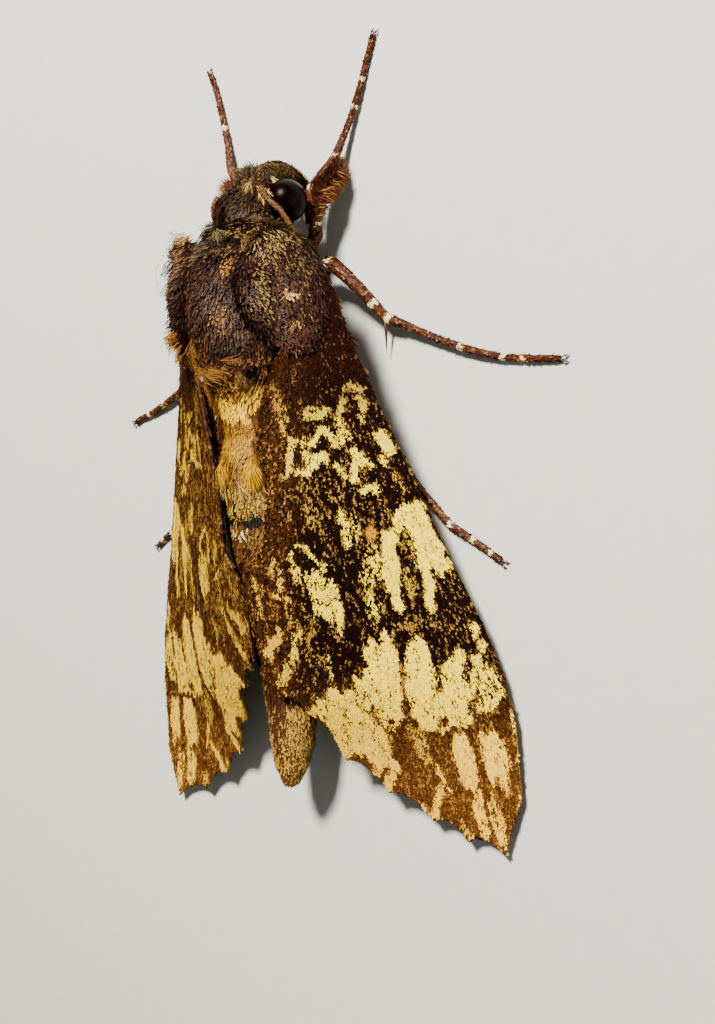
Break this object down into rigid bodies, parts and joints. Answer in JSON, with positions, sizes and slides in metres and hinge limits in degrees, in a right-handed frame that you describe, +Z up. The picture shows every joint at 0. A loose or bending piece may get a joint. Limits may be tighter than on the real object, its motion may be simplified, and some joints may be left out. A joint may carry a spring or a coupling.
{
  "type": "hawk moth",
  "caption": "Life-size hawk moth at rest, wings folded roof-like over the body, marbled cream and brown, standing on its feet.",
  "frame": {"origin": "bottom centre of the whole moth's bounding box, on the floor under it", "axes": "+Y towards the head, along the body; +X to the moth's right; +Z up from the floor"},
  "size_m": [0.0444, 0.0638, 0.0122],
  "materials": {
    "body_hair": "dense brown hair-scales with pale tips",
    "abdomen_hair": "tan hair-scales with yellow and black side tufts",
    "compound_eye": "dark red-brown, glossy",
    "cuticle": "red-brown chitin with pale scale rings",
    "antenna_scales": "tan scales over brown chitin",
    "forewing_scales": "overlapping matte scales, cream marbling on dark brown",
    "hindwing_scales": "overlapping matte scales, yellow with a dark border"
  },
  "bodies": {
    "root": {"head": "body_hair", "collar": "body_hair", "thorax": "body_hair", "tegula_right": "body_hair", "tegula_left": "body_hair", "abdomen": "abdomen_hair", "palp_right": "body_hair", "palp_left": "body_hair", "eye_right": "compound_eye", "eye_left": "compound_eye", "proboscis": "cuticle", "antenna_right": "antenna_scales", "antenna_left": "antenna_scales", "forewing_right": "forewing_scales", "forewing_left": "forewing_scales", "hindwing_right": "hindwing_scales", "hindwing_left": "hindwing_scales", "leg_fore_right": "cuticle", "leg_fore_left": "cuticle", "leg_mid_right": "cuticle", "leg_mid_left": "cuticle", "leg_hind_right": "cuticle", "leg_hind_left": "cuticle"}
  },
  "joints": []
}
